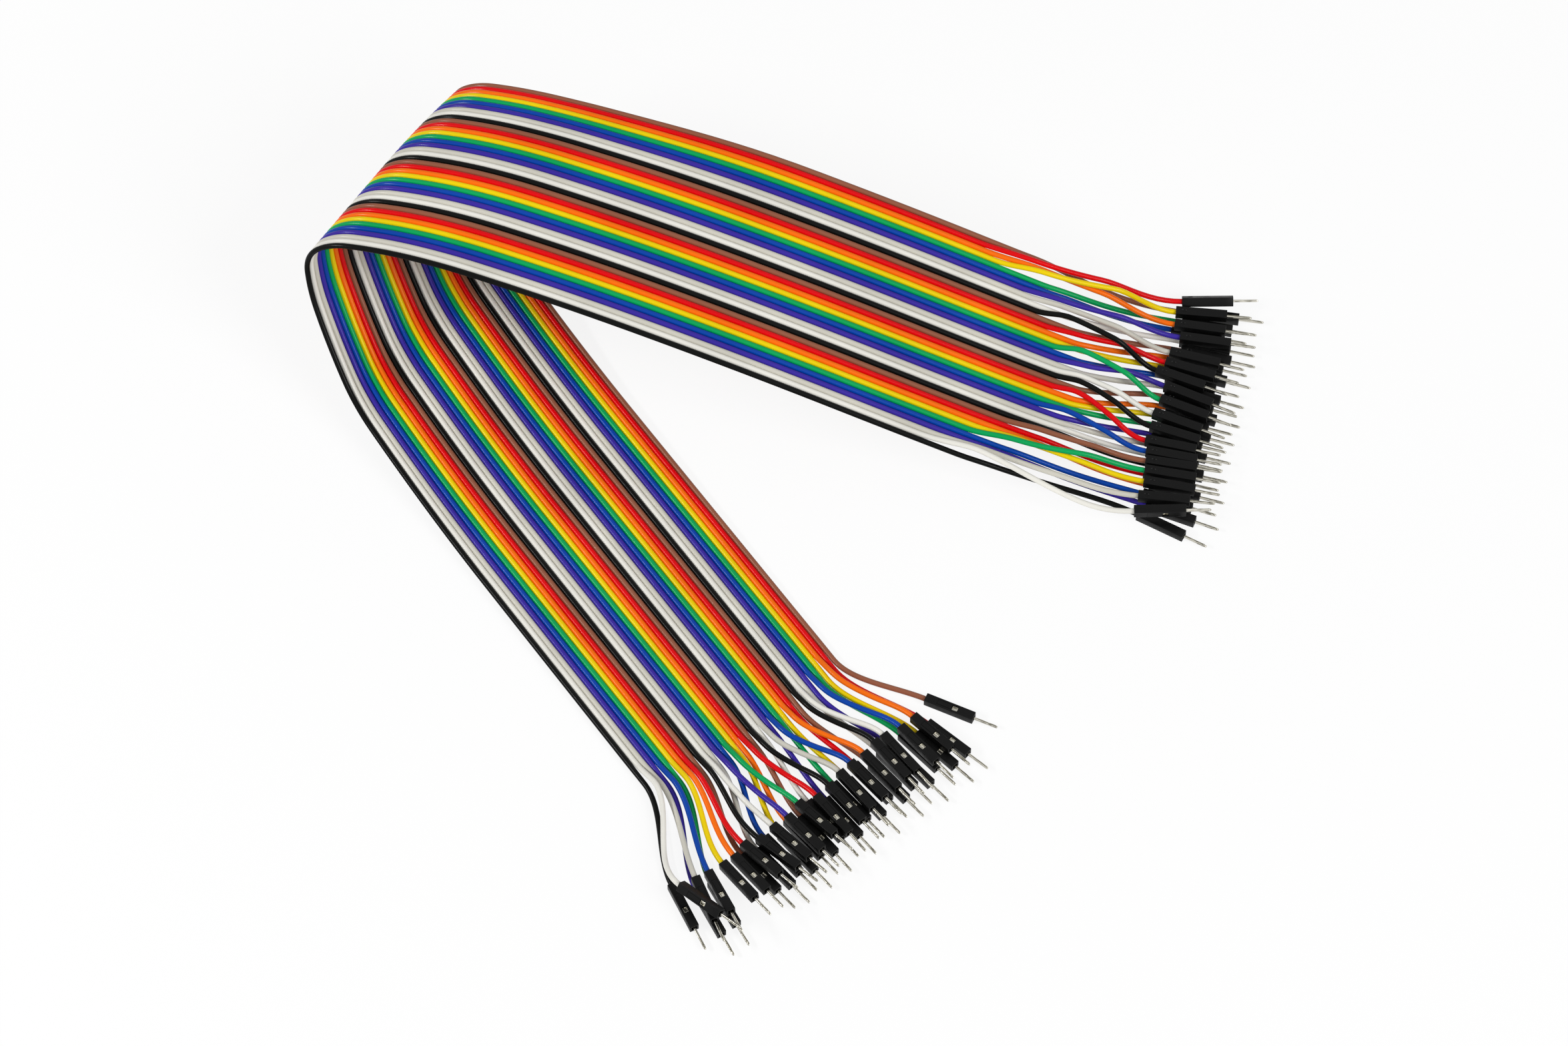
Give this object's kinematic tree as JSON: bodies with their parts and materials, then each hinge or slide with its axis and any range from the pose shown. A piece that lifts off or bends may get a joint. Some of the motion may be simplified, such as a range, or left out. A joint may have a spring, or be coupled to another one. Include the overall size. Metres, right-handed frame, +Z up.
{
  "type": "breadboard jumper wire ribbon",
  "caption": "Flat rainbow ribbon of insulated jumper wires, folded over once, with a black single-pin male plug on each peeled end.",
  "frame": {"origin": "middle of the object's footprint, on the surface it lies on", "axes": "+Z up from the surface; +X towards both sets of plugs, across the picture; +Y away from the viewer"},
  "size_m": [0.2598, 0.243, 0.0539],
  "materials": {
    "black_insulation": "satin PVC",
    "white_insulation": "satin PVC",
    "grey_insulation": "satin PVC",
    "purple_insulation": "satin PVC",
    "blue_insulation": "satin PVC",
    "green_insulation": "satin PVC",
    "yellow_insulation": "satin PVC",
    "orange_insulation": "satin PVC",
    "red_insulation": "satin PVC",
    "brown_insulation": "satin PVC",
    "housing": "moulded black",
    "pin": "bright plated"
  },
  "bodies": {
    "root": {"jumper_01_black": "black_insulation", "jumper_02_white": "white_insulation", "jumper_03_grey": "grey_insulation", "jumper_04_purple": "purple_insulation", "jumper_05_blue": "blue_insulation", "jumper_06_green": "green_insulation", "jumper_07_yellow": "yellow_insulation", "jumper_08_orange": "orange_insulation", "jumper_09_red": "red_insulation", "jumper_10_brown": "brown_insulation", "jumper_11_black": "black_insulation", "jumper_12_white": "white_insulation", "jumper_13_grey": "grey_insulation", "jumper_14_purple": "purple_insulation", "jumper_15_blue": "blue_insulation", "jumper_16_green": "green_insulation", "jumper_17_yellow": "yellow_insulation", "jumper_18_orange": "orange_insulation", "jumper_19_red": "red_insulation", "jumper_20_brown": "brown_insulation", "jumper_21_black": "black_insulation", "jumper_22_white": "white_insulation", "jumper_23_grey": "grey_insulation", "jumper_24_purple": "purple_insulation", "jumper_25_blue": "blue_insulation", "jumper_26_green": "green_insulation", "jumper_27_yellow": "yellow_insulation", "jumper_28_orange": "orange_insulation", "jumper_29_red": "red_insulation", "jumper_30_brown": "brown_insulation", "jumper_31_black": "black_insulation", "jumper_32_white": "white_insulation", "jumper_33_grey": "grey_insulation", "jumper_34_purple": "purple_insulation", "jumper_35_blue": "blue_insulation", "jumper_36_green": "green_insulation", "jumper_37_yellow": "yellow_insulation", "jumper_38_orange": "orange_insulation", "jumper_39_red": "red_insulation", "jumper_40_brown": "brown_insulation"}
  },
  "joints": []
}
